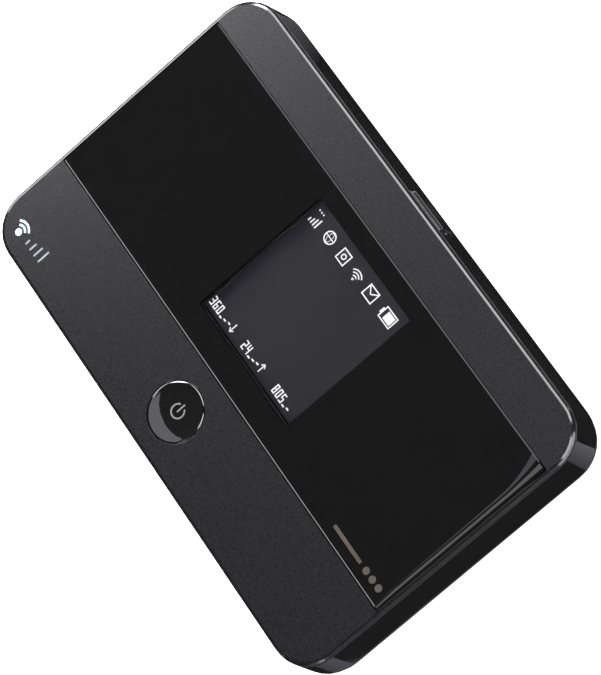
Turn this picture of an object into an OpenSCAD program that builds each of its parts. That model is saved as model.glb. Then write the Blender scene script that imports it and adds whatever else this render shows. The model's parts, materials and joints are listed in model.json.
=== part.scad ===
// Pocket mobile hotspot: a handheld wireless router with a small screen.
// Origin: centre of the flat base. +X runs along the text on the screen, +Y to the long side
// with the menu key, +Z out of the screen. Millimetres.

/* [Body] */
// Length at the waist, the widest line of the side wall
body_l = 106.4; // [104:0.1:110]
// Width at the waist
body_w = 66; // [65:0.1:68]
// Thickness from the flat base to the front face
body_h = 15.9; // [15.9:0.1:17]
// Corner radius at the waist, seen from the front
corner_r = 7.9; // [7.4:0.1:8.4]
// Height of the waist above the base
waist_z = 6.8; // [6.7:0.05:6.9]
// How far the side wall leans in between the waist and the front seam
wall_lean = 0.35; // [0.3:0.05:0.5]
// Height of the front shell's rounded edge above the seam
front_edge = 0.63; // [0.6:0.01:0.7]
// How far the flat back is set in from the widest line
base_inset = 6; // [5:0.5:6.5]

/* [Walls] */
// Side wall of the mid frame
wall = 1.5; // [1.4:0.1:1.6]
// Thickness of the front shell's strips
strip_t = 1.2; // [1.1:0.1:1.2]
// Wall of the back cover
cover_wall = 1.2; // [1:0.1:1.3]
// Gap in a visible seam between two housings
seam = 0.1; // [0.08:0.01:0.12]

/* [Window] */
// Length of the glossy window
window_l = 103.7; // [103.4:0.1:103.8]
// Width of the glossy window
window_w = 37.3; // [36:0.1:37.5]
// Y of the window's middle
window_y = 4.55; // [4.4:0.05:4.6]
// Thickness of the window
window_t = 1; // [0.9:0.1:1]
// Side of the square screen seen through the window
screen_side = 28.4; // [28:0.1:29]
// X of the screen's middle
screen_x = 1.4; // [0:0.1:2]
// Y of the screen's middle
screen_y = 5.35; // [5:0.05:5.5]

/* [Buttons] */
// Diameter of the round power button
power_d = 11; // [10:0.1:11.2]
// Y of the power button's middle
power_y = -23.4; // [-23.5:0.1:-23.2]
// Depth of the dish in the power button
power_dish = 0.35; // [0.2:0.05:0.4]
// Length of the menu key on the side wall
key_l = 9; // [8:0.1:10]
// Height of the menu key
key_h = 4.6; // [4.2:0.1:4.7]
// How far the menu key stands out past the waist
key_proud = 0.35; // [0.2:0.05:0.5]
// Travel of both buttons
press = 0.4; // [0.3:0.05:0.45]
// Gap round each button
button_gap = 0.12; // [0.1:0.01:0.15]

/* [Battery and cards] */
// Battery length along X
battery_l = 56; // [50:1:56]
// Battery width along Y
battery_w = 50; // [46:1:50]
// Battery thickness
battery_t = 5.2; // [4.6:0.1:5.2]
// Thickness of a SIM card
sim_t = 0.76; // [0.7:0.01:0.8]

/* [Hidden] */
$fn = 48;
hull_fn = 32;
eps = 0.01;

// Levels from the front face down
top_z = body_h;
seam_z = top_z - front_edge;
window_z = top_z - window_t;
tape_t = 0.2;
web_top = window_z - tape_t;
web_t = 1;
web_z = web_top - web_t;
strip_z = top_z - strip_t;

// Levels from the base up
rim_z = waist_z - 0.55;
frame_z = rim_z + seam;
waist_band = 0.3;
floor_z = 7;
floor_t = 1;
floor_top = floor_z + floor_t;
board_z = 9.6;
board_t = 1;
board_top = board_z + board_t;

// Outlines: how far each is set in from the waist
fit = 0.1;
inner_inset = wall_lean + wall;
skirt_t = 0.9;
skirt_z = 13.4;
skirt_inset = inner_inset + fit;
foot_inset = 0.2;
facet_inset = [0.12, 0.45, 0.8];
facet_drop = [0.33, 0.1, 0];
window_fit = 0.16;
window_roll_l = 1.9;
window_roll_h = 0.55;
window_bevel_l = 0.24;
window_bevel_h = 0.14;

// Screws: the case screws stand at the corners, the board screws on standoffs
case_screw_x = 47.9;
case_screw_y = 27;
board_screw_spots = [[-40, -26], [40, -26], [-40, 26.5], [30, 26.5]];
screw_r = 0.8;
screw_fit = 0.05;
head_r = 1.6;
head_h = 0.9;
boss_r = 2.2;
standoff_r = 1.8;

// Power button
power_r = power_d / 2;
power_flange_r = power_r + 0.8;
power_flange_t = 0.7;
power_flange_top = strip_z - 0.08;
switch_h = 1.6;
switch_side = 4.6;
plunger_r = 1;
plunger_fit = 0.06;
stem_z = board_top + 2.2;
plunger_gap = 0.05;

// Menu key, centred on the screen along X
key_x = screen_x;
key_z = 11.7;
key_flange_over = 1;
key_flange_t = 0.8;
wall_in_y = body_w / 2 - inner_inset;
key_flange_y = wall_in_y - 0.1;
menu_switch_y = 29.2;
menu_switch_depth = 3;

// Charging socket, opposite the menu key
usb_l = 7.5;
usb_h = 2.45;
usb_depth = 5.6;
usb_wall = 0.25;
usb_y = -body_w / 2 + 0.6;
usb_gap = 0.25;

// Battery bay and card floor
battery_x = -16.5;
battery_z = 1.55;
bay_fit = 0.25;
bay_wall = 1;
bay_z = 2.4;
header_l = 3;
cards_x0 = 15;
cards_x1 = 49;
cards_y0 = -20;
cards_y1 = 22.5;
sim_x = 24;
sim_l = 25;
sim_w = 15;
sim_y = 9;
card_x = 41.5;
card_l = 15;
card_w = 11;
card_t = 0.7;
card_y = 1.5;
slot_fit = 0.1;
holder_t = 1.6;
holder_wall = 0.9;
card_z = 8.35;

// Antennas, stuck to the inside of the walls
antenna_t = 0.25;
antenna_x = body_l / 2 - inner_inset - antenna_t / 2 - eps;

// Screen stack, from the board up
screen_frame_t = 0.3;
backlight_t = 1;
panel_t = 1.4;
panel_l = 29.8;
panel_w = 31.6;
panel_y = screen_y - 0.6;
backlight_z = board_top + screen_frame_t;
panel_z = backlight_z + backlight_t;
panel_top = panel_z + panel_t;

// ---- Shapes used more than once ----

// Four round corners of the body's outline, set in by inset, as a thin layer topped at z
module outline(inset, z, t = eps) {
    for (sx = [-1, 1], sy = [-1, 1])
        translate([sx * (body_l / 2 - corner_r), sy * (body_w / 2 - corner_r), z - t])
            cylinder(r = corner_r - inset, h = t, $fn = hull_fn);
}

// A straight-sided block with the body's rounded outline, set in by inset
module outline_block(inset, z0, z1) {
    hull()
        outline(inset, z1, z1 - z0);
}

// A box given by its middle in X and Y and its two heights
module block(x, y, l, w, z0, z1) {
    translate([x - l / 2, y - w / 2, z0])
        cube([l, w, z1 - z0]);
}

// An upright cylinder between two heights
module post(x, y, r, z0, z1) {
    translate([x, y, z0])
        cylinder(r = r, h = z1 - z0);
}

// A slab with rounded corners
module rounded_slab(x, y, l, w, r, z0, z1) {
    translate([x, y, z0])
        linear_extrude(z1 - z0)
            union() {
                square([l - 2 * r, w], center = true);
                square([l, w - 2 * r], center = true);
                for (sx = [-1, 1], sy = [-1, 1])
                    translate([sx * (l / 2 - r), sy * (w / 2 - r)])
                        circle(r = r);
            }
}

// Places its children at the four case screws
module at_case_screws() {
    for (sx = [-1, 1], sy = [-1, 1])
        translate([sx * case_screw_x, sy * case_screw_y, 0])
            children();
}

// Places its children at the board screws
module at_board_screws() {
    for (spot = board_screw_spots)
        translate([spot[0], spot[1], 0])
            children();
}

// A pan-head screw whose head lies between z = 0 and -head_h, with its shank upwards
module pan_screw(length) {
    difference() {
        translate([0, 0, -head_h])
            cylinder(r = head_r, h = head_h);
        for (turn = [0, 90])
            rotate([0, 0, turn])
                translate([-head_r * 0.55, -0.15, -head_h - eps])
                    cube([head_r * 1.1, 0.3, 0.4]);
    }
    cylinder(r = screw_r, h = length);
}

// A pressed-metal can, open downwards, standing on the board
module shield_can(x, y, l, w, h) {
    can_t = 0.2;
    difference() {
        block(x, y, l, w, board_top, board_top + h);
        block(x, y, l - 2 * can_t, w - 2 * can_t, board_top - eps, board_top + h - can_t);
    }
}

// A card holder hung under the board, open towards -Y for the card
module slot_holder(x, y, l, w, t) {
    difference() {
        block(x, y, w + 2 * holder_wall, l + holder_wall, board_z - holder_t, board_z);
        block(x, y - holder_wall, w + 2 * slot_fit, l + holder_wall, card_z - slot_fit,
            card_z + t + slot_fit);
        block(x, y - l * 0.3, w - 4, l * 0.6, board_z - holder_t - eps, card_z);
    }
}

// ---- Housing ----

module front_shell() {
    color([0.27, 0.27, 0.29])
        difference() {
            union() {
                // plate with its faceted outer edge
                hull() {
                    outline(wall_lean + foot_inset, seam_z + eps);
                    for (i = [0:2])
                        outline(wall_lean + facet_inset[i], top_z - facet_drop[i]);
                }
                outline_block(skirt_inset, strip_z, seam_z);
                // skirt that drops inside the mid frame
                difference() {
                    outline_block(skirt_inset, skirt_z, strip_z + eps);
                    outline_block(skirt_inset + skirt_t, skirt_z - 1, strip_z);
                }
                // web under the window
                block(0, window_y, window_l - 3, window_w + 3, web_z, strip_z + eps);
                // bosses for the case screws
                at_case_screws()
                    post(0, 0, boss_r, floor_top, strip_z + eps);
            }
            // recess for the window and its tape
            block(0, window_y, window_l + 2 * window_fit, window_w + 2 * window_fit, web_top,
                top_z + 1);
            // opening over the screen
            block(screen_x, screen_y, screen_side + 1.2, screen_side + 1.2, web_z - 1, web_top + 1);
            // hole for the power button
            post(0, power_y, power_r + button_gap, strip_z - 2, top_z + 1);
            // notch in the skirt for the menu key's flange
            block(key_x, wall_in_y, key_l + 2 * key_flange_over + 1, 4, skirt_z - 1,
                key_z + key_h / 2 + 0.4);
            // bores for the case screws
            at_case_screws()
                post(0, 0, screw_r + screw_fit, floor_top - 1, 13);
        }
}

module display_window() {
    // the +X end rolls down over a quarter of an ellipse, the other end has a bevel
    end_curve = [for (a = [0:15:90])
        [window_l / 2 - window_roll_l * (1 - cos(a)), top_z - window_roll_h * (1 - sin(a))]];
    color([0.04, 0.04, 0.045])
        translate([0, window_y + window_w / 2, 0])
            rotate([90, 0, 0])
                linear_extrude(window_w)
                    polygon(concat([[-window_l / 2, window_z], [window_l / 2, window_z]],
                        end_curve, [[-window_l / 2 + window_bevel_l, top_z],
                        [-window_l / 2, top_z - window_bevel_h]]));
}

module window_tape() {
    color([0.15, 0.15, 0.15])
        difference() {
            block(0, window_y, window_l - 2, window_w - 2, web_top, window_z);
            block(screen_x, screen_y, screen_side + 1.2, screen_side + 1.2, web_top - 1, window_z + 1);
        }
}

module mid_frame() {
    color([0.06, 0.06, 0.065])
        difference() {
            union() {
                difference() {
                    hull() {
                        outline(wall_lean, seam_z - seam);
                        outline(0, waist_z + waist_band / 2, waist_band);
                        outline(0.25, frame_z + eps);
                    }
                    // space above and below the floor
                    outline_block(inner_inset, floor_top, top_z);
                    outline_block(inner_inset, 0, floor_z);
                }
                // walls of the battery bay
                difference() {
                    block(battery_x, 0, battery_l + 2 * (bay_fit + bay_wall),
                        battery_w + 2 * (bay_fit + bay_wall), bay_z, floor_z + floor_t / 2);
                    block(battery_x, 0, battery_l + 2 * bay_fit, battery_w + 2 * bay_fit,
                        bay_z - 1, floor_z);
                }
                // standoffs for the board
                at_board_screws()
                    post(0, 0, standoff_r, floor_z + floor_t / 2, board_z);
            }
            // opening in the floor over the cards
            block((cards_x0 + cards_x1) / 2, (cards_y0 + cards_y1) / 2, cards_x1 - cards_x0,
                cards_y1 - cards_y0, floor_z - 1, floor_top + 1);
            // gap in the bay wall for the battery contacts
            block(battery_x + battery_l / 2 + 2, 0, 5, 16, bay_z - 1, floor_top + 1);
            // pocket at both ends for the window, which reaches over the wall
            block(0, window_y, window_l + 2 * window_fit, window_w + 2 * window_fit,
                window_z - window_fit, top_z);
            // opening for the menu key
            block(key_x, body_w / 2, key_l + 2 * button_gap, 6, key_z - key_h / 2 - button_gap,
                key_z + key_h / 2 + button_gap);
            // opening for the charging socket
            block(0, -body_w / 2, usb_l + 2 * usb_gap, 6, board_top - usb_gap,
                board_top + usb_h + usb_gap);
            // holes for the case screws
            at_case_screws()
                post(0, 0, screw_r + 0.15, floor_z - 1, floor_top + 1);
            // bores for the board screws
            at_board_screws()
                post(0, 0, screw_r + screw_fit, floor_z + floor_t * 0.3, board_z + 1);
        }
}

module back_cover() {
    lip_in = inner_inset + fit + 0.8;
    color([0.1, 0.1, 0.105])
        difference() {
            union() {
                // curved shell
                difference() {
                    hull()
                        for (a = [0:15:90])
                            outline(wall_lean + base_inset * (1 - cos(a)),
                                eps + (rim_z - eps) * (1 - sin(a)));
                    hull()
                        for (a = [0:15:90])
                            outline(wall_lean + cover_wall + base_inset * (1 - cos(a)),
                                cover_wall + (rim_z + eps - cover_wall) * (1 - sin(a)));
                }
                // shelf inside the rim, and the lip that stands on it inside the mid frame
                difference() {
                    union() {
                        outline_block(wall_lean + cover_wall - 0.1, rim_z - 1.2, rim_z);
                        outline_block(inner_inset + fit, rim_z - eps, floor_z - fit);
                    }
                    outline_block(lip_in, rim_z - 2, floor_z + 1);
                }
            }
            // nail notch in the rim
            block(-body_l / 2, 0, 3, 12, rim_z - 0.7, rim_z + eps);
        }
}

module case_screws() {
    color([0.6, 0.6, 0.62])
        at_case_screws()
            translate([0, 0, floor_z])
                pan_screw(5.5);
}

// ---- Buttons ----

module power_button() {
    dish_r = (pow(power_r * 0.9, 2) + pow(power_dish, 2)) / (2 * power_dish);
    cap_top = top_z - 0.05;
    color([0.05, 0.05, 0.055])
        union() {
            difference() {
                post(0, power_y, power_r, power_flange_top - eps, cap_top);
                translate([0, power_y, cap_top - power_dish + dish_r])
                    sphere(r = dish_r, $fn = 160);
            }
            post(0, power_y, power_flange_r, power_flange_top - power_flange_t, power_flange_top);
            post(0, power_y, 1.5, stem_z, power_flange_top - power_flange_t + eps);
        }
}

module power_switch() {
    color([0.2, 0.2, 0.22])
        difference() {
            block(0, power_y, switch_side, switch_side, board_top, board_top + switch_h);
            post(0, power_y, plunger_r + plunger_fit, board_top + 0.6, board_top + switch_h + 1);
        }
}

module power_plunger() {
    color([0.85, 0.8, 0.7])
        post(0, power_y, plunger_r, board_top + 0.6 + press + 0.1, stem_z - plunger_gap);
}

module menu_key() {
    color([0.06, 0.06, 0.065])
        union() {
            translate([key_x - key_l / 2, key_flange_y - eps, key_z - key_h / 2])
                cube([key_l, body_w / 2 + key_proud - key_flange_y, key_h]);
            translate([key_x - key_l / 2 - key_flange_over, key_flange_y - key_flange_t,
                key_z - key_h / 2])
                cube([key_l + 2 * key_flange_over, key_flange_t, key_h]);
        }
}

module menu_switch() {
    color([0.2, 0.2, 0.22])
        difference() {
            block(key_x, menu_switch_y - menu_switch_depth / 2, switch_side, menu_switch_depth,
                board_top, board_top + 2);
            translate([key_x, menu_switch_y + 1, board_top + 1.1])
                rotate([90, 0, 0])
                    cylinder(r = 0.7 + plunger_fit, h = 2.6);
        }
}

module menu_plunger() {
    color([0.85, 0.8, 0.7])
        translate([key_x, key_flange_y - key_flange_t - plunger_gap, board_top + 1.1])
            rotate([90, 0, 0])
                cylinder(r = 0.7, h = 2);
}

// ---- Screen ----

module screen_gasket() {
    color([0.12, 0.12, 0.12])
        difference() {
            block(screen_x, screen_y, panel_l + 0.8, panel_l + 0.8, panel_top, web_z);
            block(screen_x, screen_y, screen_side + 0.2, screen_side + 0.2, panel_top - 1, web_z + 1);
        }
}

module screen_panel() {
    color([0.21, 0.21, 0.22])
        block(screen_x, panel_y, panel_l, panel_w, panel_z, panel_top);
}

module screen_backlight() {
    color([0.9, 0.9, 0.88])
        block(screen_x, panel_y, panel_l, panel_w, backlight_z, panel_z);
}

module screen_frame() {
    side = 0.4;
    color([0.7, 0.7, 0.72])
        difference() {
            block(screen_x, panel_y, panel_l + 2 * (side + fit), panel_w + 2 * (side + fit),
                board_top, panel_top - 0.3);
            block(screen_x, panel_y, panel_l + 2 * fit, panel_w + 2 * fit, backlight_z, panel_top);
            // open where the flex leaves
            block(screen_x, panel_y - panel_w / 2, 18, 4, backlight_z, panel_top);
        }
}

module screen_flex() {
    flex_w = 14;
    flex_t = 0.15;
    from_y = panel_y - panel_w / 2;
    reach = 3.2;
    color([0.8, 0.55, 0.2])
        translate([screen_x - flex_w / 2, from_y, 0])
            union() {
                translate([0, -reach, panel_z + 0.3])
                    cube([flex_w, reach, flex_t]);
                translate([0, -reach, board_top])
                    cube([flex_w, flex_t, panel_z + 0.3 - board_top + flex_t]);
                // its connector on the board
                translate([-0.5, -reach - 2.2, board_top])
                    cube([flex_w + 1, 2.2, 1]);
            }
}

// ---- Electronics ----

module main_board() {
    board_l = 98;
    board_y0 = -29.5;
    board_y1 = 29.4;
    color([0.05, 0.25, 0.14])
        difference() {
            block(0, (board_y0 + board_y1) / 2, board_l, board_y1 - board_y0, board_z, board_top);
            for (sx = [-1, 1], sy = [-1, 1])
                block(sx * 49, sy * 30, 12, 15, board_z - 1, board_top + 1);
            at_board_screws()
                translate([0, 0, board_z - 1])
                    cylinder(r = screw_r + 0.2, h = board_t + 2);
        }
}

module board_screws() {
    color([0.75, 0.72, 0.6])
        at_board_screws()
            translate([0, 0, board_top])
                mirror([0, 0, 1])
                    pan_screw(3.2);
}

module modem_shield() {
    color([0.72, 0.72, 0.74])
        shield_can(-30, 2, 27, 36, 1.9);
}

module radio_shield() {
    color([0.72, 0.72, 0.74])
        shield_can(33, 2, 26, 34, 1.9);
}

module modem_chip() {
    color([0.1, 0.1, 0.11])
        block(-30, 10, 13, 13, board_top, board_top + 1.2);
}

module memory_chip() {
    color([0.1, 0.1, 0.11])
        block(-30, -6, 11, 9, board_top, board_top + 1);
}

module radio_chip() {
    color([0.1, 0.1, 0.11])
        block(32, 8, 9, 9, board_top, board_top + 1);
}

module power_chip() {
    color([0.1, 0.1, 0.11])
        block(33, -6, 6, 6, board_top, board_top + 0.9);
}

module board_passives() {
    color([0.6, 0.5, 0.38]) {
        for (i = [0:7])
            block(-40 + i * 3, -22, 1.6, 0.8, board_top, board_top + 0.8);
        for (i = [0:5])
            block(16 + i * 3.2, -21, 2, 1.2, board_top, board_top + 1);
    }
}

module usb_profile(inset) {
    half = usb_l / 2 - inset;
    low = inset;
    high = usb_h - inset;
    polygon([[-half, high], [half, high], [half, low + 0.9], [half - 0.9, low],
        [0.9 - half, low], [-half, low + 0.9]]);
}

module usb_socket() {
    color([0.75, 0.75, 0.77])
        translate([0, usb_y + usb_depth, board_top])
            rotate([90, 0, 0])
                difference() {
                    linear_extrude(usb_depth)
                        usb_profile(0);
                    translate([0, 0, 0.5])
                        linear_extrude(usb_depth)
                            usb_profile(usb_wall);
                }
}

module usb_tongue() {
    color([0.08, 0.08, 0.08])
        translate([-1.9, usb_y + 0.5, board_top + usb_h - 1.1])
            cube([3.8, usb_depth - 1, 0.6]);
}

module sim_holder() {
    color([0.75, 0.75, 0.77])
        slot_holder(sim_x, sim_y, sim_l, sim_w, sim_t);
}

module sim_card() {
    corner = 3;
    color([0.92, 0.92, 0.92])
        translate([sim_x, sim_y - holder_wall, card_z])
            linear_extrude(sim_t)
                polygon([[-sim_w / 2, -sim_l / 2], [sim_w / 2, -sim_l / 2],
                    [sim_w / 2, sim_l / 2 - corner], [sim_w / 2 - corner, sim_l / 2],
                    [-sim_w / 2, sim_l / 2]]);
}

module card_holder() {
    color([0.75, 0.75, 0.77])
        slot_holder(card_x, card_y, card_l, card_w, card_t);
}

module memory_card() {
    color([0.08, 0.08, 0.09])
        translate([card_x, card_y - holder_wall, card_z])
            linear_extrude(card_t)
                polygon([[-card_w / 2, -card_l / 2], [card_w / 2, -card_l / 2],
                    [card_w / 2, card_l / 2], [-card_w / 2 + 1.6, card_l / 2],
                    [-card_w / 2, card_l / 2 - 2.4]]);
}

module battery_contacts() {
    face_x = battery_x + battery_l / 2;
    color([0.85, 0.68, 0.3]) {
        // insulating block hung under the board
        block(face_x + 2, 0, 2, 14, floor_z - 3.5, board_z);
        // four spring blades that face the battery
        for (i = [-1.5:1:1.5])
            block(face_x + 0.6, i * 3.2, 0.8, 1.2, floor_z - 3.2, floor_z - 1.2);
    }
}

// ---- Battery ----

module battery_cell() {
    color([0.16, 0.17, 0.19])
        rounded_slab(battery_x - header_l / 2, 0, battery_l - header_l, battery_w, 1.2, battery_z,
            battery_z + battery_t);
}

module battery_header() {
    color([0.1, 0.1, 0.1])
        difference() {
            block(battery_x + battery_l / 2 - header_l / 2, 0, header_l, battery_w, battery_z,
                battery_z + battery_t);
            for (i = [-1.5:1:1.5])
                block(battery_x + battery_l / 2, i * 3.2, 0.6, 1.8, floor_z - 3.4, floor_z - 1);
        }
}

// ---- Antennas ----

module main_antenna() {
    color([0.8, 0.5, 0.25])
        block(-antenna_x, 0, antenna_t, 36, floor_top + 0.3, skirt_z - 0.2);
}

module diversity_antenna() {
    color([0.8, 0.5, 0.25])
        block(antenna_x, 0, antenna_t, 36, floor_top + 0.3, skirt_z - 0.2);
}

module wifi_antenna() {
    color([0.8, 0.5, 0.25])
        block(25, -wall_in_y + antenna_t / 2 + eps, 26, antenna_t, floor_top + 0.3, skirt_z - 0.2);
}

front_shell();
display_window();
window_tape();
power_button();
power_switch();
power_plunger();
menu_key();
menu_switch();
menu_plunger();
screen_gasket();
screen_panel();
screen_backlight();
screen_frame();
screen_flex();
mid_frame();
main_board();
modem_shield();
radio_shield();
modem_chip();
memory_chip();
radio_chip();
power_chip();
board_passives();
usb_socket();
usb_tongue();
sim_holder();
sim_card();
card_holder();
memory_card();
battery_contacts();
battery_cell();
battery_header();
main_antenna();
diversity_antenna();
wifi_antenna();
case_screws();
board_screws();
back_cover();
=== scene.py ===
"""Looks of the mobile hotspot: fine edges, materials, screen picture, marks, floor, lights and camera.

Lengths of the object are in millimetres, and the mesh helpers turn them into Blender's metres with MM. The
floor, lights, cards and camera are in metres.
"""

import json
import math

import bmesh
import bpy
from mathutils import Matrix, Vector

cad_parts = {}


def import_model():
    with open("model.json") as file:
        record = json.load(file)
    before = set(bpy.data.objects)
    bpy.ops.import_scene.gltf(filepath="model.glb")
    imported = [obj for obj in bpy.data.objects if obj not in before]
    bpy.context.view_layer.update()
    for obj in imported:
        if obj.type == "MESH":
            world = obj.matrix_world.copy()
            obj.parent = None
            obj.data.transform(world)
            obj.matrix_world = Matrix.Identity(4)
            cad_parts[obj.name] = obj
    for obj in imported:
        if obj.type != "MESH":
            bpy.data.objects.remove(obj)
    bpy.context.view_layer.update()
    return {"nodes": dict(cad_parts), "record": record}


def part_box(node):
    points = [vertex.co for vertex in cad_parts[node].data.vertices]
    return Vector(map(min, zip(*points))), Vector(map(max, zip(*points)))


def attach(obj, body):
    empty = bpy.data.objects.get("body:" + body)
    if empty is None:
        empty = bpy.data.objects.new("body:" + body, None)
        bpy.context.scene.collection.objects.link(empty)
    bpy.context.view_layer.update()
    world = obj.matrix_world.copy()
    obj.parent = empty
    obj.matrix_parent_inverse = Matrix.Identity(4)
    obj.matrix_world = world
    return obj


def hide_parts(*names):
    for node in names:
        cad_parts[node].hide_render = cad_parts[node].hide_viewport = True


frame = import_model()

MM = 0.001
RECORD = frame["record"]
BODY_OF = {node: body for body, nodes in RECORD["behaviour"]["bodies"].items() for node in nodes}


def box(node):
    """(lowest corner, highest corner) of a CAD node, in millimetres."""
    low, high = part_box(node)
    return Vector(low) / MM, Vector(high) / MM


def middle(node):
    """Centre of a CAD node's box, in millimetres."""
    low, high = box(node)
    return (low + high) / 2


# ---------------------------------------------------------------- materials


def new_material(name):
    """A material with an empty node tree, its Principled shader and its object coordinates."""
    mat = bpy.data.materials.new(name)
    mat.use_nodes = True
    nodes = mat.node_tree.nodes
    nodes.clear()
    output = nodes.new("ShaderNodeOutputMaterial")
    shader = nodes.new("ShaderNodeBsdfPrincipled")
    mat.node_tree.links.new(shader.outputs["BSDF"], output.inputs["Surface"])
    return mat, shader, nodes.new("ShaderNodeTexCoord")


def noise(mat, coord, grain, stretch=(1, 1, 1), detail=3.0):
    """Noise with features about grain millimetres across, drawn out by stretch. Returns its value socket."""
    nodes, links = mat.node_tree.nodes, mat.node_tree.links
    mapping = nodes.new("ShaderNodeMapping")
    mapping.inputs["Scale"].default_value = [1 / (MM * grain * s) for s in stretch]
    links.new(coord.outputs["Object"], mapping.inputs["Vector"])
    texture = nodes.new("ShaderNodeTexNoise")
    texture.inputs["Scale"].default_value = 1.0
    texture.inputs["Detail"].default_value = detail
    links.new(mapping.outputs["Vector"], texture.inputs["Vector"])
    return texture.outputs["Fac"]


def ranged(mat, value, low, high, start=0.3, end=0.7):
    """value, from start to end, mapped to low to high."""
    node = mat.node_tree.nodes.new("ShaderNodeMapRange")
    node.inputs["From Min"].default_value = start
    node.inputs["From Max"].default_value = end
    node.inputs["To Min"].default_value = low
    node.inputs["To Max"].default_value = high
    mat.node_tree.links.new(value, node.inputs["Value"])
    return node.outputs["Result"]


def blended(mat, factor, colour_a, colour_b):
    """Colour between two colours or colour sockets."""
    node = mat.node_tree.nodes.new("ShaderNodeMix")
    node.data_type = "RGBA"
    mat.node_tree.links.new(factor, node.inputs["Factor"])
    for socket, colour in (("A", colour_a), ("B", colour_b)):
        target = [s for s in node.inputs if s.name == socket and s.type == "RGBA"][0]
        if hasattr(colour, "is_output"):
            mat.node_tree.links.new(colour, target)
        else:
            target.default_value = (*colour, 1)
    return [s for s in node.outputs if s.type == "RGBA"][0]


def bumped(mat, shader, height, depth, strength=1.0):
    """Bump of that depth in millimetres, from a height socket."""
    node = mat.node_tree.nodes.new("ShaderNodeBump")
    node.inputs["Strength"].default_value = strength
    node.inputs["Distance"].default_value = depth * MM
    mat.node_tree.links.new(height, node.inputs["Height"])
    mat.node_tree.links.new(node.outputs["Normal"], shader.inputs["Normal"])


PATCH = 6.0


def surface(name, dark, light, rough, grain, depth, metal=0.0, stretch=(1, 1, 1), ior=1.5, speckled=False):
    """Procedural surface: colour varied from dark to light at grain size, roughness varied over patches, and
    a bump of that depth at grain size. The roughness of a speckled surface follows the grain instead."""
    mat, shader, coord = new_material(name)
    fine = noise(mat, coord, grain, stretch)
    broad = noise(mat, coord, PATCH)
    links = mat.node_tree.links
    links.new(blended(mat, ranged(mat, fine, 0, 1), dark, light), shader.inputs["Base Color"])
    links.new(ranged(mat, fine if speckled else broad, *rough), shader.inputs["Roughness"])
    shader.inputs["Metallic"].default_value = metal
    shader.inputs["IOR"].default_value = ior
    bumped(mat, shader, fine, depth)
    return mat


def glowing(name, colour, strength, base):
    """Lit screen surface: a faint cell pattern in an emitted colour over a smooth film."""
    mat, shader, coord = new_material(name)
    cells = ranged(mat, noise(mat, coord, 0.12), 0, 1)
    links = mat.node_tree.links
    links.new(blended(mat, cells, [c * 0.94 for c in colour], colour), shader.inputs["Emission Color"])
    links.new(blended(mat, cells, [c * 0.9 for c in base], base), shader.inputs["Base Color"])
    links.new(ranged(mat, cells, 0.3, 0.36, 0, 1), shader.inputs["Roughness"])
    shader.inputs["Emission Strength"].default_value = strength
    return mat


def circuit_board():
    """Green solder mask with lighter copper tracks under it."""
    mat, shader, coord = new_material("solder_mask")
    nodes, links = mat.node_tree.nodes, mat.node_tree.links
    tracks = nodes.new("ShaderNodeTexBrick")
    tracks.inputs["Color1"].default_value = (0.006, 0.06, 0.03, 1)
    tracks.inputs["Color2"].default_value = (0.008, 0.075, 0.036, 1)
    tracks.inputs["Mortar"].default_value = (0.02, 0.16, 0.075, 1)
    tracks.inputs["Scale"].default_value = 160.0
    tracks.inputs["Mortar Size"].default_value = 0.03
    tracks.inputs["Row Height"].default_value = 0.18
    tracks.inputs["Brick Width"].default_value = 1.1
    links.new(coord.outputs["Object"], tracks.inputs["Vector"])
    links.new(tracks.outputs["Color"], shader.inputs["Base Color"])
    links.new(ranged(mat, noise(mat, coord, 4.0), 0.28, 0.4), shader.inputs["Roughness"])
    bumped(mat, shader, tracks.outputs["Fac"], 0.02)
    return mat


def clear_window():
    """Clear acrylic of the window over the screen."""
    mat, shader, coord = new_material("clear_acrylic")
    shader.inputs["Base Color"].default_value = (0.9, 0.9, 0.92, 1)
    shader.inputs["Transmission Weight"].default_value = 1.0
    shader.inputs["IOR"].default_value = 1.49
    mat.node_tree.links.new(ranged(mat, noise(mat, coord, 9.0), 0.0, 0.012), shader.inputs["Roughness"])
    return mat


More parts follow.
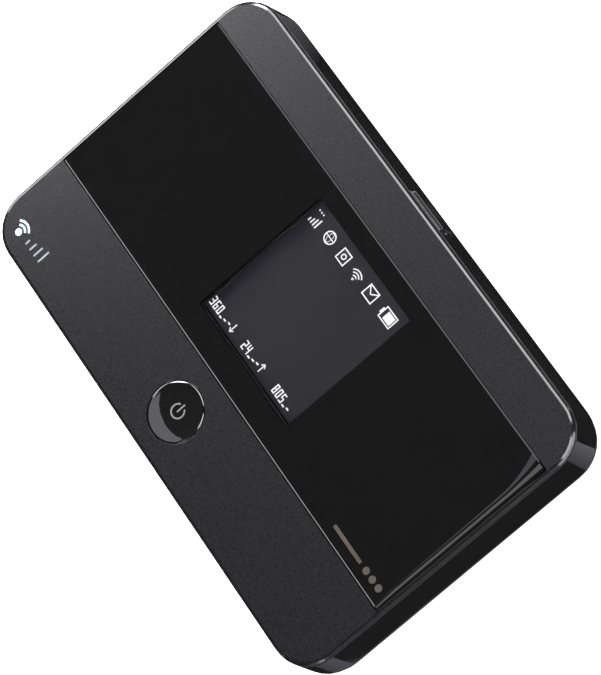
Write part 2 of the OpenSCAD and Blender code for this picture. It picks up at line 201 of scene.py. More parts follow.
MATS = {
    "satin": surface("satin_graphite", (0.0004, 0.0004, 0.0006), (0.0078, 0.0072, 0.0094),
                     (0.265, 0.29), 0.2, 0.003, ior=1.4, speckled=True),
    "edge": surface("polished_edge", (0.004, 0.004, 0.0045), (0.006, 0.006, 0.0065),
                    (0.08, 0.12), 0.5, 0.0006, ior=1.6),
    # The steep +X facet past the rolled end gets this lighter colour as a painted sheen, with a softer
    # finish.
    "lip": surface("painted_sheen_facet", (0.011, 0.011, 0.012), (0.016, 0.016, 0.017),
                   (0.12, 0.16), 0.4, 0.0005),
    "gloss": surface("gloss_black", (0.0027, 0.0027, 0.0027), (0.0033, 0.0033, 0.0033),
                     (0.02, 0.035), 1.4, 0.0001),
    "wall": surface("gloss_wall", (0.003, 0.003, 0.0032), (0.0038, 0.0038, 0.004),
                    (0.02, 0.035), 1.2, 0.0001),
    "cap": surface("gloss_cap", (0.0029, 0.0029, 0.0029), (0.0037, 0.0037, 0.0037),
                   (0.02, 0.035), 1.2, 0.0001, ior=1.75),
    "cover": surface("matte_cover", (0.018, 0.018, 0.02), (0.03, 0.03, 0.033), (0.42, 0.5), 0.3, 0.02),
    "frame": surface("moulded_frame", (0.014, 0.014, 0.015), (0.02, 0.02, 0.022),
                     (0.36, 0.46), 0.35, 0.01),
    "foam": surface("black_foam", (0.012, 0.012, 0.012), (0.03, 0.03, 0.03), (0.85, 0.95), 0.18, 0.06),
    "dark": surface("black_moulding", (0.014, 0.014, 0.016), (0.022, 0.022, 0.024),
                    (0.4, 0.5), 0.25, 0.01),
    "light": surface("white_moulding", (0.68, 0.66, 0.6), (0.78, 0.76, 0.71), (0.38, 0.46), 0.6, 0.006),
    "steel": surface("tinned_steel", (0.42, 0.42, 0.43), (0.62, 0.62, 0.63),
                     (0.24, 0.36), 0.12, 0.004, metal=1.0, stretch=(9, 1, 1)),
    "gold": surface("gold_plate", (0.72, 0.48, 0.17), (0.86, 0.6, 0.26), (0.18, 0.28), 0.2, 0.003, metal=1.0),
    "film": surface("amber_film", (0.24, 0.1, 0.02), (0.5, 0.24, 0.07),
                    (0.25, 0.35), 0.5, 0.01, stretch=(1, 1, 12)),
    "ceramic": surface("fired_ceramic", (0.26, 0.18, 0.11), (0.5, 0.45, 0.4), (0.35, 0.5), 0.5, 0.01),
    "card": surface("card_white", (0.66, 0.66, 0.66), (0.75, 0.75, 0.75), (0.32, 0.4), 0.5, 0.004),
    "wrap": surface("battery_wrap", (0.02, 0.022, 0.027), (0.03, 0.033, 0.04), (0.3, 0.4), 0.45, 0.008),
    "label": surface("printed_grey", (0.3, 0.3, 0.31), (0.36, 0.36, 0.37), (0.45, 0.55), 0.4, 0.002),
    "mark_blue": surface("printed_blue", (0.3, 0.42, 0.6), (0.45, 0.58, 0.78), (0.4, 0.5), 0.3, 0.002),
    "mark_thin": surface("printed_silver", (0.13, 0.145, 0.17), (0.17, 0.19, 0.22),
                         (0.4, 0.5), 0.3, 0.002),
    "mark_brown": surface("printed_bronze", (0.03, 0.022, 0.016), (0.038, 0.0285, 0.021),
                          (0.35, 0.45), 0.3, 0.002),
    "mark_grey": surface("printed_icon", (0.09, 0.09, 0.093), (0.105, 0.105, 0.108),
                         (0.35, 0.45), 0.3, 0.002),
    "mark_faint": surface("printed_faint", (0.02, 0.02, 0.021), (0.028, 0.028, 0.03),
                          (0.35, 0.45), 0.3, 0.002),
    # The ribs' light grey is a painted glint along the top of the menu key.
    "painted_glint_ribs": surface("ribs_painted_glint", (0.13, 0.13, 0.135), (0.2, 0.2, 0.205), (0.3, 0.4), 0.2, 0.002),
    "board": circuit_board(),
    "clear": clear_window(),
    "lit": glowing("lit_screen", (0.68, 0.64, 1.0), 0.0155, (0.006, 0.006, 0.007)),
    "pixels": glowing("lit_pixels", (1.0, 1.0, 1.0), 0.95, (0.3, 0.3, 0.3)),
}


# ---------------------------------------------------------------- mesh helpers


def finished(bm, name, mats, body, sharp=30, nodes=()):
    """Turns a bmesh in millimetres into a piece that rides on body and stands for the CAD nodes."""
    bmesh.ops.recalc_face_normals(bm, faces=bm.faces)
    bmesh.ops.transform(bm, matrix=Matrix.Scale(MM, 4), verts=bm.verts)
    mesh = bpy.data.meshes.new(name)
    bm.to_mesh(mesh)
    bm.free()
    for key in mats:
        mesh.materials.append(MATS[key])
    mesh.shade_smooth()
    mesh.set_sharp_from_angle(angle=math.radians(sharp))
    piece = bpy.data.objects.new(name, mesh)
    bpy.context.scene.collection.objects.link(piece)
    weighted = piece.modifiers.new("flat_faces_first", "WEIGHTED_NORMAL")
    weighted.keep_sharp = True
    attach(piece, body)
    if nodes:
        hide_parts(*nodes)
    return piece


HARD_ANGLE = math.radians(30)
WELD = 0.002
FLAT_ANGLE = math.radians(0.3)


def refined(node, name, mats, width, segments=2, zone=None, sharp=30, wide=None):
    """A CAD node's own shape with its hard edges rounded by width. zone picks a face's material by its centre
    and normal. wide is a test for the edges that get a rounder edge, and its width."""
    bm = bmesh.new()
    bm.from_mesh(frame["nodes"][node].data)
    bmesh.ops.transform(bm, matrix=Matrix.Scale(1 / MM, 4), verts=bm.verts)
    bmesh.ops.remove_doubles(bm, verts=bm.verts, dist=WELD)
    bmesh.ops.dissolve_limit(bm, angle_limit=FLAT_ANGLE, verts=bm.verts, edges=bm.edges)
    passes = [(lambda edge: True, width, segments)]
    if wide:
        passes.insert(0, (wide[0], wide[1], 4))
    for chosen, offset, count in passes:
        hard = [e for e in bm.edges if len(e.link_faces) == 2 and e.calc_face_angle(0) > HARD_ANGLE]
        bmesh.ops.bevel(bm, geom=[e for e in hard if chosen(e)], offset=offset, offset_type="OFFSET",
                        segments=count, profile=0.5, affect="EDGES", clamp_overlap=True)
    for face in bm.faces:
        face.material_index = zone(face.calc_center_median(), face.normal) if zone else 0
    return finished(bm, name, mats, BODY_OF[node], sharp, [node])


# ---------------------------------------------------------------- case

TOP_Z = box("front_shell")[1].z
WINDOW_LOW, WINDOW_HIGH = box("display_window")
WALL_LOW, WALL_HIGH = box("mid_frame")
BUTTON = middle("power_button")
HOLE_R = 5.8
# Above ON_TOP a point is on the flat top of the front, and a face whose normal's z is past LEVEL is level.
ON_TOP = TOP_Z - 0.02
LEVEL = 0.97
# The case's outline is more than CORNER_R away from the rectangle of these half sides.
CORNER_X, CORNER_Y, CORNER_R = 45.3, 25.1, 7.3


def front_zone(centre, normal):
    """Satin on the two flat strips, polished on the edge and the lips past the window's ends, and on the
    steep facet past the rolled end at +X a softer finish whose lighter colour is a painted sheen."""
    lip = abs(centre.x) > WINDOW_HIGH.x - 0.5 and WINDOW_LOW.y - 0.3 < centre.y < WINDOW_HIGH.y + 0.3
    if centre.x > WINDOW_HIGH.x - 0.2 and normal.x > 0.45 and abs(normal.y) < 0.3 and normal.z > 0.4:
        return 2
    return 0 if centre.z > ON_TOP and normal.z > LEVEL and not lip else 1


def frame_zone(centre, normal):
    """Gloss on the outer wall and its top edge, moulded texture inside and underneath."""
    x_gap, y_gap = WALL_HIGH.x - abs(centre.x), WALL_HIGH.y - abs(centre.y)
    outside = min(x_gap, y_gap) < 1.2 or (x_gap < 8 and y_gap < 8 and normal.z < 0.5)
    return 0 if outside and abs(normal.z) < LEVEL and centre.z > WALL_LOW.z + 4 else 1


def button_hole_edge(edge):
    """The top edge of the hole round the power button."""
    return all(v.co.z > ON_TOP and math.hypot(v.co.x - BUTTON.x, v.co.y - BUTTON.y) < HOLE_R
               for v in edge.verts)


def seam_edge(edge):
    """The outer edge of the mid frame along the seam."""
    ends = [v.co for v in edge.verts]
    high_up = all(end.z > TOP_Z - 0.9 and (abs(end.x) > 44 or abs(end.y) > 31) for end in ends)
    return high_up and any(
        math.hypot(max(abs(end.x) - CORNER_X, 0), max(abs(end.y) - CORNER_Y, 0)) > CORNER_R for end in ends)


refined("front_shell", "front_panel", ["satin", "edge", "lip"], 0.05, zone=front_zone, sharp=12,
        wide=(button_hole_edge, 0.12))
refined("mid_frame", "side_wall", ["wall", "frame"], 0.1, zone=frame_zone, wide=(seam_edge, 0.15))
refined("back_cover", "cover_shell", ["cover"], 0.15)
refined("menu_key", "menu_cap", ["gloss"], 0.28, 4)


def turned(profile, x, y, count=144):
    """A closed solid of revolution about (x, y). The (radius, height) pairs start and end on the axis."""
    bm = bmesh.new()
    top, bottom = bm.verts.new((x, y, profile[0][1])), bm.verts.new((x, y, profile[-1][1]))
    angles = [2 * math.pi * i / count for i in range(count)]
    rings = [[bm.verts.new((x + r * math.cos(a), y + r * math.sin(a), z)) for a in angles]
             for r, z in profile[1:-1]]
    for i in range(count):
        j = (i + 1) % count
        bm.faces.new((top, rings[0][i], rings[0][j]))
        bm.faces.new((bottom, rings[-1][j], rings[-1][i]))
        for inner, outer in zip(rings, rings[1:]):
            bm.faces.new((inner[i], outer[i], outer[j], inner[j]))
    return bm


def dish_height(r):
    """Height of the power button's dish at a radius. It steepens past steep_r, toward the rim."""
    dish_depth, bowl, steep, steep_r = 0.345, 0.012, 0.0006, 3.0
    return box("power_button")[1].z - dish_depth + bowl * r * r + steep * max(0.0, r - steep_r) ** 4


def power_cap():
    """Power button: dished face, chamfered and rounded rim, flange and stem."""
    low, high = box("power_button")
    x, y = BUTTON.xy
    flange_r = (high.x - low.x) / 2
    cap_r, flange_top, flange_t, stem_r = 5.5, 14.22, 0.7, 1.5
    rim, slope, chamfer = 0.12, math.radians(16), 0.14
    ring_step = 0.258
    profile = [(ring_step * i, dish_height(ring_step * i)) for i in range(21)]
    edge_r, edge_z = cap_r - rim, high.z - chamfer * math.tan(slope) - rim * math.cos(slope)
    profile.append((edge_r + rim * math.sin(slope) - chamfer, high.z))
    profile += [(edge_r + rim * math.sin(a), edge_z + rim * math.cos(a))
                for a in (slope + (math.pi / 2 - slope) * i / 6 for i in range(7))]
    profile += [(cap_r, flange_top), (flange_r, flange_top), (flange_r, flange_top - flange_t),
                (stem_r, flange_top - flange_t), (stem_r, low.z), (0.0, low.z)]
    finished(turned(profile, x, y), "power_cap", ["cap"], "power_button", 12,
             ["power_button"])


power_cap()


# ---------------------------------------------------------------- window

SCREEN_SIDE = 28.4
SCREEN_X = 1.4
SCREEN_Y = 5.35


def window():
    """Window in one piece: it rolls down at its +X end, has a flat bevel along the other three sides, and is
    clear over the screen."""
    low, high = WINDOW_LOW, WINDOW_HIGH
    bevel_l, bevel_h = 0.22, 0.125
    steps = 14
    half = SCREEN_SIDE / 2
    angles = [math.pi / 2 * i / steps for i in range(steps, -1, -1)]
    screen_ys = (SCREEN_Y - half, SCREEN_Y + half)
    screen_column = 2  # in rolled, the place of the screen's lower x
    rows = [low.y + y for y in (1, 2, 3.5, 5)] + [high.y - y for y in (9, 7.5, 6, 5, 4, 3, 2, 1.2, 0.6)]
    rows = sorted(rows + list(screen_ys))
    ys = [(low.y, bevel_h), (low.y + bevel_l, 0)] + [(y, 0) for y in rows]
    ys += [(high.y - bevel_l, 0), (high.y, bevel_h)]

    def rolled(y):
        """(x, drop) along the window at y. The roll is short in the -Y corner and flares in the +Y corner."""
        start = min(1.0, (y - low.y) / 7)
        flare = max(0.0, 1 - (high.y - y) / 9) ** 2
        roll_l, roll_h = 1.1 + 0.9 * start + 2.2 * flare, 0.4 + 0.15 * start + 0.2 * flare
        flat = [(low.x, bevel_h), (low.x + bevel_l, 0), (SCREEN_X - half, 0), (SCREEN_X + half, 0)]
        return flat + [(high.x - roll_l * (1 - math.cos(a)), roll_h * (1 - math.sin(a))) for a in angles]

    bm = bmesh.new()
    columns = [rolled(y) for y, _ in ys]
    count = len(columns[0])
    top = [[bm.verts.new((column[i][0], y, high.z - column[i][1] - drop))
            for column, (y, drop) in zip(columns, ys)] for i in range(count)]
    base = [[bm.verts.new((column[i][0], y, low.z)) for column, (y, _) in zip(columns, ys)]
            for i in range(count)]
    for i in range(count - 1):
        for j in range(len(ys) - 1):
            clear = i == screen_column and screen_ys[0] <= ys[j][0] < screen_ys[1]
            for grid in (top, base):
                face = bm.faces.new((grid[i][j], grid[i + 1][j], grid[i + 1][j + 1], grid[i][j + 1]))
                face.material_index = int(clear)
    for i in range(count - 1):
        for j in (0, -1):
            bm.faces.new((top[i][j], top[i + 1][j], base[i + 1][j], base[i][j]))
    for j in range(len(ys) - 1):
        for i in (0, -1):
            bm.faces.new((top[i][j], top[i][j + 1], base[i][j + 1], base[i][j]))
    finished(bm, "window_pane", ["gloss", "clear"], BODY_OF["display_window"], 14,
             ["display_window"])


window()


# ---------------------------------------------------------------- flat marks

MARK_ANGLE = 40


class Marks:
    """Thin raised shapes gathered in one mesh, on a plane at height z."""

    def __init__(self, z, thick):
        self.bm = bmesh.new()
        self.z = z
        self.thick = thick

    def shape(self, points):
        """A closed outline, as a thin slab."""
        low = [self.bm.verts.new((x, y, self.z)) for x, y in points]
        high = [self.bm.verts.new((x, y, self.z + self.thick)) for x, y in points]
        self.bm.faces.new(high)
        self.bm.faces.new(list(reversed(low)))
        for i in range(len(points)):
            j = (i + 1) % len(points)
            self.bm.faces.new((low[i], low[j], high[j], high[i]))

    def bar(self, x0, y0, x1, y1):
        """A rectangle between two corners."""
        self.shape([(x0, y0), (x1, y0), (x1, y1), (x0, y1)])

    def line(self, start, end, width):
        """A straight stroke."""
        a, b = Vector(start), Vector(end)
        side = (b - a).orthogonal().normalized() * width / 2
        self.shape([tuple(a + side), tuple(a - side), tuple(b - side), tuple(b + side)])

    def arc(self, x, y, radius, width, start, end, squash=1.0, steps=20):
        """A curved stroke about (x, y), from start to end in degrees."""
        inner, outer = [], []
        for i in range(steps + 1):
            a = math.radians(start + (end - start) * i / steps)
            c, s = math.cos(a), math.sin(a)
            inner.append((x + (radius - width / 2) * c * squash, y + (radius - width / 2) * s))
            outer.append((x + (radius + width / 2) * c * squash, y + (radius + width / 2) * s))
        if abs(end - start) < 360:
            self.shape(inner + outer[::-1])
            return
        half = steps // 2
        self.shape(inner[:half + 1] + outer[:half + 1][::-1])
        self.shape(inner[half:] + outer[half:][::-1])

    def frame(self, x0, y0, x1, y1, width):
        """A rectangular outline."""
        self.bar(x0, y0, x1, y0 + width)
        self.bar(x0, y1 - width, x1, y1)
        self.bar(x0, y0 + width, x0 + width, y1 - width)
        self.bar(x1 - width, y0 + width, x1, y1 - width)

    def digit(self, value, x, y, w, h, width):
        """A seven-bar digit with its lower left corner at (x, y)."""
        lit = ("abcdef", "bc", "abged", "abgcd", "fgbc", "afgcd", "afgedc", "abc", "abcdefg", "abcdfg")[value]
        m = y + h / 2
        bars = {
            "a": (x, y + h - width, x + w, y + h),
            "g": (x, m - width / 2, x + w, m + width / 2),
            "d": (x, y, x + w, y + width),
            "f": (x, m, x + width, y + h),
            "b": (x + w - width, m, x + w, y + h),
            "e": (x, y, x + width, m),
            "c": (x + w - width, y, x + w, m),
        }
        for key in lit:
            self.bar(*bars[key])

    def piece(self, name, mat, body, slot):
        """The finished marks."""
        finished(self.bm, name, [mat], body, MARK_ANGLE)


LCD_Z = box("screen_panel")[1].z
# Seen through the window, the picture appears nearer the camera than it is, so it sits back by this much.
SHIFT_X = -1.0
SHIFT_Y = -0.52


STROKE = 0.22


def on_picture(x):
    """x on the object, for an x on the picture."""
    return x + SHIFT_X


def screen_field():
    """The lit field of the screen."""
    field = Marks(LCD_Z, 0.03)
    x0, y0 = SCREEN_X + SHIFT_X + 0.64 - SCREEN_SIDE / 2, SCREEN_Y + SHIFT_Y + 0.8 - SCREEN_SIDE / 2
    field.bar(x0, y0, x0 + SCREEN_SIDE, y0 + SCREEN_SIDE)
    field.piece("screen_field", "lit", "device", "screen")


def status_signs(signs):
    """The row of status signs: signal bars, globe, framed dot, radio waves, envelope and battery."""
    base, top = 15.6 + SHIFT_Y, 18.1 + SHIFT_Y
    y = (base + top) / 2
    for i, high in enumerate((0.7, 1.1, 1.5, 1.9)):  # signal bars under a row of dots
        x = on_picture(-11.3) + 0.64 * i
        signs.bar(x, base, x + STROKE * 1.2, base + high)
    for i in range(3):
        x = on_picture(-11.2) + 0.6 * i
        signs.bar(x, top + 0.05, x + 0.3, top + 0.35)
    x = on_picture(-5.85)  # globe
    signs.arc(x, y, 1.15, STROKE, 0, 360)
    signs.arc(x, y, 1.0, STROKE * 0.8, 90, 270, 0.45)
    signs.arc(x, y, 1.0, STROKE * 0.8, -90, 90, 0.45)
    signs.bar(x - 1.0, y - STROKE * 0.4, x + 1.0, y + STROKE * 0.4)
    x0, x1 = on_picture(-2.6), on_picture(-0.2)  # framed dot
    signs.frame(x0, base, x1, top, STROKE)
    signs.arc((x0 + x1) / 2, y, 0.45, STROKE, 0, 360)
    x = on_picture(2.8)  # radio waves
    for radius in (0.6, 1.15, 1.7):
        signs.arc(x, base + 0.25, radius, STROKE, 40, 140)
    signs.arc(x, base + 0.2, 0.12, 0.24, 0, 360, steps=12)
    x0, x1 = on_picture(5.8), on_picture(8.6)  # envelope
    signs.frame(x0, base, x1, top, STROKE)
    for corner_x in (x0 + 0.2, x1 - 0.2):
        signs.line((corner_x, top - 0.3), ((x0 + x1) / 2, y - 0.1), STROKE)
    x0, x1 = on_picture(11.0), on_picture(14.3)  # battery
    signs.frame(x0, base, x1, top, STROKE)
    signs.bar(x0 - 0.35, y - 0.55, x0, y + 0.55)
    signs.bar(x0 + 0.95, base + 0.42, x1 - 0.42, top - 0.42)


def readings(signs):
    """The row of readings: digits, small blocks where units would stand, and an arrow down or up."""
    low = -7.3 + SHIFT_Y
    high, wide, step = 1.8, 0.78, 1.1
    for start, digits, blanks, arrow in (
            (-11.8, (3, 6, 0), 3, "down"), (-1.4, (2, 4), 3, "up"), (8.7, (8, 0, 5), 2, None)):
        x = on_picture(start)
        for value in digits:
            signs.digit(value, x, low, wide, high, STROKE)
            x += step
        for i in range(blanks):
            signs.bar(x, low + 0.3 * i, x + wide * 0.8, low + 0.3 * i + STROKE * 1.4)
            x += step * 0.95
        if arrow:
            tip, lean = (low, 0.45) if arrow == "down" else (low + high, -0.45)
            signs.bar(x + 0.35, low, x + 0.35 + STROKE, low + high)
            for side in (-0.5, 0.5):
                signs.line((x + 0.46 + side, tip + lean * 1.3), (x + 0.46, tip), STROKE)


def screen_signs():
    """Everything written on the lit field, as one piece."""
    signs = Marks(LCD_Z + 0.03, 0.03)
    status_signs(signs)
    readings(signs)
    signs.piece("screen_signs", "pixels", "device", "screen")


screen_field()
screen_signs()


def printed_marks():
    """Plain marks where the front carries print: a radio sign with thin bars on the strip, and a bar and dots
    on the window."""
    thick, dot_r = 0.012, 0.7
    wave = Marks(TOP_Z, thick)
    x, y = -47.0, -28.6
    wave.arc(x, y, dot_r / 2, dot_r, 0, 360, steps=16)
    for radius in (1.3, 2.1):
        wave.arc(x, y, radius, 0.42, 42, 138)
    wave.piece("radio_sign", "mark_blue", "device", "front_plastic")
    bars = Marks(TOP_Z, thick)
    foot_y = -28.8
    for i in range(4):
        x = -44.4 + 1.45 * i
        bars.bar(x, foot_y, x + 0.34, foot_y + 1.1 + 0.55 * i)
    bars.piece("strip_bars", "mark_thin", "device", "front_plastic")
    motif = Marks(WINDOW_HIGH.z, thick)
    motif.bar(35.2, -12.0, 43.4, -11.3)
    for i in range(3):
        motif.arc(45.1 + 1.9 * i, -11.65, dot_r / 2, dot_r, 0, 360, steps=16)
    motif.piece("window_motif", "mark_brown", "device", "gloss_black")


printed_marks()


def standby_sign():
    """Ring with a gap and a bar, laid into the button's dish."""
    x, y = BUTTON.xy
    sign = Marks(0, 0.02)
    sign.arc(x, y + 0.3, 1.3, 0.3, 118, 422, steps=36)
    sign.bar(x - 0.15, y + 0.1, x + 0.15, y + 2.0)
    for v in sign.bm.verts:
        v.co.z += dish_height(math.hypot(v.co.x - x, v.co.y - y))
    sign.piece("standby_sign", "mark_grey", "power_button", "gloss_black")


standby_sign()


def wall_marks():
    """Fine ribs on the wall above the menu key, whose light grey colour is a painted glint, a light grey
    slanted stroke beside it and a faint sign on its face.
    """
    key_y = box("menu_key")[1].y
    key_x = middle("menu_key").x
    waist, lean, slab_t = 6.8, 0.35, 0.008

    def surface_y(z):
        """Y of the wall's outside at a height, where it leans in from the waist to the seam."""
        return WALL_HIGH.y - lean * (z - waist) / (WALL_HIGH.z - waist)

    def upright(x0, z0, x1, z1):
        """(x, z) corners of a rectangle."""
        return [(x0, z0), (x1, z0), (x1, z1), (x0, z1)]

    def slab(bm, corners, proud, face_y=surface_y):
        """A thin slab from (x, z) corners, on the wall or on another face."""
        back = [bm.verts.new((x, face_y(z) - 0.05, z)) for x, z in corners]
        front = [bm.verts.new((x, face_y(z) + proud, z)) for x, z in corners]
        bm.faces.new(front)
        bm.faces.new(list(reversed(back)))
        for i in range(len(corners)):
            j = (i + 1) % len(corners)
            bm.faces.new((back[i], back[j], front[j], front[i]))

    ribs = bmesh.new()
    count, pitch, half = 18, 0.5, 0.1
    for i in range(count):
        x = key_x + pitch * (i - (count - 1) / 2)
        slab(ribs, upright(x - half, 14.2, x + half, 14.92), 0.08)
    # Light grey ribs: the colour paints the dotted glint along the key's top.
    finished(ribs, "key_ribs", ["painted_glint_ribs"], "device", MARK_ANGLE)
    # A thin light grey slanted stroke on the wall beside the key.
    tick = bmesh.new()
    slab(tick, [(6.5, 13.3), (5.3, 10.4), (5.55, 10.4), (6.75, 13.3)], slab_t)
    finished(tick, "wall_tick", ["mark_grey"], "device", MARK_ANGLE)
    sign = bmesh.new()
    for i in range(3):
        z = 12.5 - 0.8 * i
        slab(sign, upright(key_x - 2.0, z, key_x + 1.6, z + 0.16), slab_t, lambda _: key_y)
    finished(sign, "key_sign", ["mark_faint"], "menu_key", MARK_ANGLE)


wall_marks()


# ---------------------------------------------------------------- inner nodes

NODE_MATERIAL = {
    "foam": ["window_tape", "screen_gasket"],
    "dark": ["power_switch", "menu_switch", "modem_chip", "memory_chip", "radio_chip", "power_chip",
             "usb_tongue"],
    "light": ["power_plunger", "menu_plunger", "screen_backlight"],
    "steel": ["screen_frame", "modem_shield", "radio_shield", "board_screws"],
    "film": ["screen_flex", "main_antenna", "diversity_antenna", "wifi_antenna"],
    "ceramic": ["board_passives"],
    "board": ["main_board"],
    "gloss": ["screen_panel"],
}
for key, nodes in NODE_MATERIAL.items():
    for node in nodes:
        for material_slot in frame["nodes"][node].material_slots:
            material_slot.material = MATS[key]

refined("usb_socket", "usb_shell", ["steel"], 0.05)
refined("sim_holder", "sim_tray", ["steel"], 0.08)
refined("card_holder", "card_tray", ["steel"], 0.08)
refined("sim_card", "sim_body", ["card"], 0.06)
refined("memory_card", "memory_body", ["dark"], 0.06)
refined("case_screws", "case_screw_set", ["steel"], 0.05)
refined("battery_contacts", "contact_block", ["dark"], 0.06)
refined("battery_cell", "battery_wrapper", ["wrap"], 0.3, 3)
refined("battery_header", "battery_cap", ["dark"], 0.15)


def blocks(name, mat, body, boxes):
    """Several small raised pads in one mesh, from (lowest corner, highest corner) pairs."""
    bm = bmesh.new()
    sides = ((0, 1, 3, 2), (4, 6, 7, 5), (0, 4, 5, 1), (2, 3, 7, 6), (0, 2, 6, 4), (1, 5, 7, 3))
    for low, high in boxes:
        corners = [bm.verts.new((x, y, z)) for x in (low[0], high[0]) for y in (low[1], high[1])
                   for z in (low[2], high[2])]
        for face in sides:
            bm.faces.new([corners[i] for i in face])
    finished(bm, name, [mat], body, MARK_ANGLE)


def inner_marks():
    """Label and contact pads of the battery, and the contact pads of the two cards."""
    thin, sunk = 0.02, 0.05
    low, high = box("battery_cell")
    x, y = (low.x + high.x) / 2, (low.y + high.y) / 2
    label = Marks(low.z - thin, thin)
    label.frame(x - 22, y - 18, x + 22, y + 18, 0.4)
    for i, wide in enumerate((30, 24, 27, 18)):
        label.bar(x - 19, y + 10 - 4 * i, x - 19 + wide, y + 11.4 - 4 * i)
    label.arc(x + 15, y - 11, 3.2, 0.4, 0, 360)
    label.line((x + 12.9, y - 13.1), (x + 17.1, y - 8.9), 0.4)
    label.piece("battery_label", "label", "battery", "battery_wrap")
    low, high = box("battery_header")
    z = (low.z + high.z) / 2
    pads = [((high.x - sunk, -6.0 + 3.6 * i, z - 1.0), (high.x + thin, -4.8 + 3.6 * i, z + 1.0))
            for i in range(4)]
    blocks("battery_pads", "gold", "battery", pads)
    low, high = box("sim_card")
    x, y = (low.x + high.x) / 2 - 4, (low.y + high.y) / 2
    pads = [((x - 5.2 + 5.6 * i, y - 5.0 + 2.6 * j, high.z - sunk),
             (x - 0.2 + 5.6 * i, y - 2.7 + 2.6 * j, high.z + thin)) for i in range(2) for j in range(4)]
    blocks("sim_pads", "gold", "sim_card", pads)
    low, high = box("memory_card")
    x = (low.x + high.x) / 2
    pads = [((x - 4.2 + 1.1 * i, high.y - 3.6, high.z - sunk),
             (x - 3.5 + 1.1 * i, high.y - 0.8, high.z + thin)) for i in range(8)]
    blocks("memory_pads", "gold", "memory_card", pads)


inner_marks()


# ---------------------------------------------------------------- floor, lights, camera


def floor():
    """Wide pale sweep, in metres: flat, with a curved-up rim far away, and a hair below the object."""
    bm = bmesh.new()
    drop, flat_r, bend_r, rim_z = 0.00005, 3, 1.5, 4.5
    bends = [math.pi / 2 * i / 8 for i in range(1, 9)]
    profile = [(0.4, 0), (1, 0), (2, 0), (flat_r, 0)]
    profile += [(flat_r + bend_r * math.sin(a), bend_r * (1 - math.cos(a))) for a in bends]
    profile.append((flat_r + bend_r, rim_z))
    count = 64
    turns = [2 * math.pi * i / count for i in range(count)]
    rings = [[bm.verts.new((r * math.cos(a), r * math.sin(a), z - drop)) for a in turns] for r, z in profile]
    centre = bm.verts.new((0, 0, -drop))
    for i in range(count):
        bm.faces.new((centre, rings[0][i], rings[0][(i + 1) % count]))
        for inner, outer in zip(rings, rings[1:]):
            bm.faces.new((inner[i], outer[i], outer[(i + 1) % count], inner[(i + 1) % count]))
    mesh = bpy.data.meshes.new("floor")
    bm.to_mesh(mesh)
    bm.free()
    mesh.shade_smooth()
    mat, shader, coord = new_material("pale_floor")
    tone = ranged(mat, noise(mat, coord, 400.0), 0, 1)
    colour = blended(mat, tone, (0.8, 0.8, 0.8), (0.83, 0.83, 0.83))
    mat.node_tree.links.new(colour, shader.inputs["Base Color"])
    shader.inputs["Roughness"].default_value = 0.9
    shader.inputs["Emission Color"].default_value = (1, 1, 1, 1)
    shader.inputs["Emission Strength"].default_value = 0.75
    mesh.materials.append(mat)
    sweep = bpy.data.objects.new("floor", mesh)
    bpy.context.scene.collection.objects.link(sweep)
    sweep.visible_glossy = False


floor()


def softbox(name, direction, wide, high, radiance, away=2.5, up=(0, 0, 1)):
    """Rectangular light in a direction, facing the object. Its width and height are in metres."""
    data = bpy.data.lights.new(name, "AREA")
    data.shape = "RECTANGLE"
    data.size, data.size_y = wide, high
    data.energy = radiance * wide * high * math.pi
    lamp = bpy.data.objects.new(name, data)
    back = Vector(direction).normalized()
    right = Vector(up).cross(back).normalized()
    lamp.matrix_world = Matrix((right, back.cross(right), back)).transposed().to_4x4()
    lamp.location = back * away
    lamp.visible_camera = False
    bpy.context.scene.collection.objects.link(lamp)


softbox("side_soft", (-0.9, -0.15, 0.36), 1.4, 0.9, 8.0)
softbox("near_strip", (-0.30, 0.01, 0.27), 0.28, 0.056, 50.0, 0.405)
softbox("edge_strip", (-0.42, 0.33, 0.85), 1.7, 0.3, 9.0, up=(0, 1, 0))
softbox("bevel_strip", (-0.47, 0.64, 0.6), 1.8, 0.5, 2.8)
softbox("rim_strip", (-0.4, 0.88, 0.25), 1.8, 0.5, 7.0)
softbox("rim_corner", (0.4, 0.86, 0.33), 1.3, 0.4, 9.0)
softbox("corner_soft", (0.66, 0.33, 0.67), 2.5, 0.7, 5.5)
softbox("top_strip", (0.035, -0.2, 0.98), 0.5, 1.4, 2.2, up=(0, 1, 0))
softbox("front_strip", (-0.42, -0.87, 0.24), 1.7, 0.36, 7.5)
softbox("corner_high", (0.13, 0.085, 0.98), 0.4, 0.8, 8.0, up=(-0.11, 0.21, 0))
softbox("corner_front", (0.55, -0.6, 0.58), 1.1, 0.35, 5.0)
softbox("right_low", (0.93, -0.2, 0.3), 1.4, 0.6, 6.0)


COOL = (0.96, 0.94, 1.08)


def glow_card(name, corners, glows):
    """Flat emitting card, slightly cool. Reflections and diffuse light see it, and the camera doesn't."""
    bm = bmesh.new()
    layer = bm.verts.layers.float_color.new("glow")
    rows = [[bm.verts.new(corner) for corner in pair] for pair in corners]
    for pair, value in zip(rows, glows):
        for vert in pair:
            vert[layer] = (*(value * tint for tint in COOL), 1)
    for one, two in zip(rows, rows[1:]):
        bm.faces.new((one[0], one[1], two[1], two[0]))
    mesh = bpy.data.meshes.new(name)
    bm.to_mesh(mesh)
    bm.free()
    mat, shader, _ = new_material(name)
    glow = mat.node_tree.nodes.new("ShaderNodeVertexColor")
    glow.layer_name = "glow"
    mat.node_tree.links.new(glow.outputs["Color"], shader.inputs["Emission Color"])
    shader.inputs["Base Color"].default_value = (0, 0, 0, 1)
    shader.inputs["Emission Strength"].default_value = 1.0
    mesh.materials.append(mat)
    card = bpy.data.objects.new(name, mesh)
    bpy.context.scene.collection.objects.link(card)
    card.visible_camera = card.visible_shadow = card.visible_transmission = False
    return card, mat


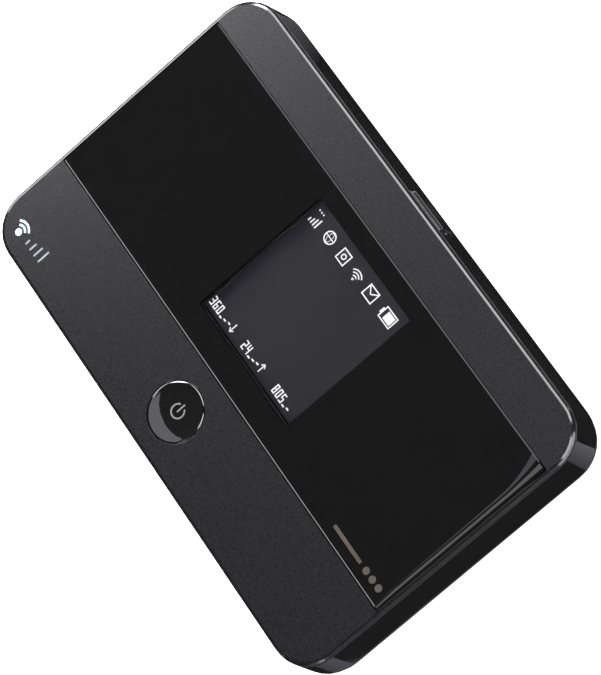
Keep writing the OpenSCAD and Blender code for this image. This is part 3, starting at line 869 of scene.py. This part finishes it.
def back_card():
    """Soft card high behind the camera whose near edge is an arc, which gives the dish its crescent."""
    away, far_y = 2.5, 0.03
    near = [(-0.175, -0.24), (-0.19, -0.23), (-0.26, -0.18), (-0.326, -0.15), (-0.41, -0.134),
            (-0.473, -0.14), (-0.54, -0.155), (-0.601, -0.176), (-0.68, -0.21)]
    corners = []
    for x, y in near:
        pair = [Vector((x, v, math.sqrt(1 - x * x - v * v))) for v in (y, far_y)]
        corners.append([p * away / p.z for p in pair])
    glow_card("back_card", corners, [1.4] * len(corners))


back_card()


def low_card(name, at, start, end, wide, radiance):
    """Dim card far below the floor, seen only in the glossy wall at a corner. It runs from the reflected ray
    start to the ray end, and its radiance goes from the first value to the second."""
    depth = 0.6
    a = Vector((*at, 0)) * MM + Vector(start) * depth / -start[2]
    b = Vector((*at, 0)) * MM + Vector(end) * depth / -end[2]
    side = (b - a).cross(Vector((0, 0, 1))).normalized() * wide / 2
    steps = 10
    middles = [a.lerp(b, i / steps) for i in range(steps + 1)]
    glows = [radiance[0] + (radiance[1] - radiance[0]) * i / steps for i in range(steps + 1)]
    card, mat = glow_card(name, [[m - side, m + side] for m in middles], glows)
    card.visible_diffuse = False
    mat.cycles.emission_sampling = "NONE"


low_card("card_right_back", (51, 29), (0.26, 0.36, -0.89), (0.445, 0.0, -0.89), 0.24, (0.7, 0.26))
low_card("card_right_front", (51, -29), (0.403, -0.251, -0.88), (0.03, -0.45, -0.89), 0.2, (0.42, 0.1))
low_card("card_left_back", (-45, 33), (-0.45, 0.21, -0.76), (-0.436, 0.231, -0.83), 0.14, (0.28, 0.0))


def world():
    """Dim surroundings, darker below the horizon."""
    scene_world = bpy.data.worlds.new("studio")
    bpy.context.scene.world = scene_world
    scene_world.use_nodes = True
    nodes, links = scene_world.node_tree.nodes, scene_world.node_tree.links
    coord = nodes.new("ShaderNodeTexCoord")
    split = nodes.new("ShaderNodeSeparateXYZ")
    ramp = nodes.new("ShaderNodeMapRange")
    ramp.inputs["From Min"].default_value = -0.2
    ramp.inputs["From Max"].default_value = 0.3
    ramp.inputs["To Min"].default_value = 0.02
    ramp.inputs["To Max"].default_value = 0.05
    links.new(coord.outputs["Generated"], split.inputs["Vector"])
    links.new(split.outputs["Z"], ramp.inputs["Value"])
    links.new(ramp.outputs["Result"], nodes["Background"].inputs["Strength"])
    nodes["Background"].inputs["Color"].default_value = (1, 1, 1, 1)


world()
bpy.context.scene.view_settings.view_transform = "Standard"


def camera():
    """Camera above the long side, looking down at about 63 degrees."""
    data = bpy.data.cameras.new("camera")
    data.sensor_width = 36.0
    data.lens = 187.28
    data.clip_start, data.clip_end = 0.05, 20.0
    cam = bpy.data.objects.new("camera", data)
    right = Vector((0.53042457, 0.74135488, -0.41114805))
    up = Vector((-0.74658494, 0.63826303, 0.18769983))
    back = Vector((0.40157279, 0.20739635, 0.89203478))
    cam.matrix_world = Matrix((right, up, back)).transposed().to_4x4()
    cam.location = (0.246166, 0.127048, 0.552112)
    bpy.context.scene.collection.objects.link(cam)
    bpy.context.scene.camera = cam


camera()
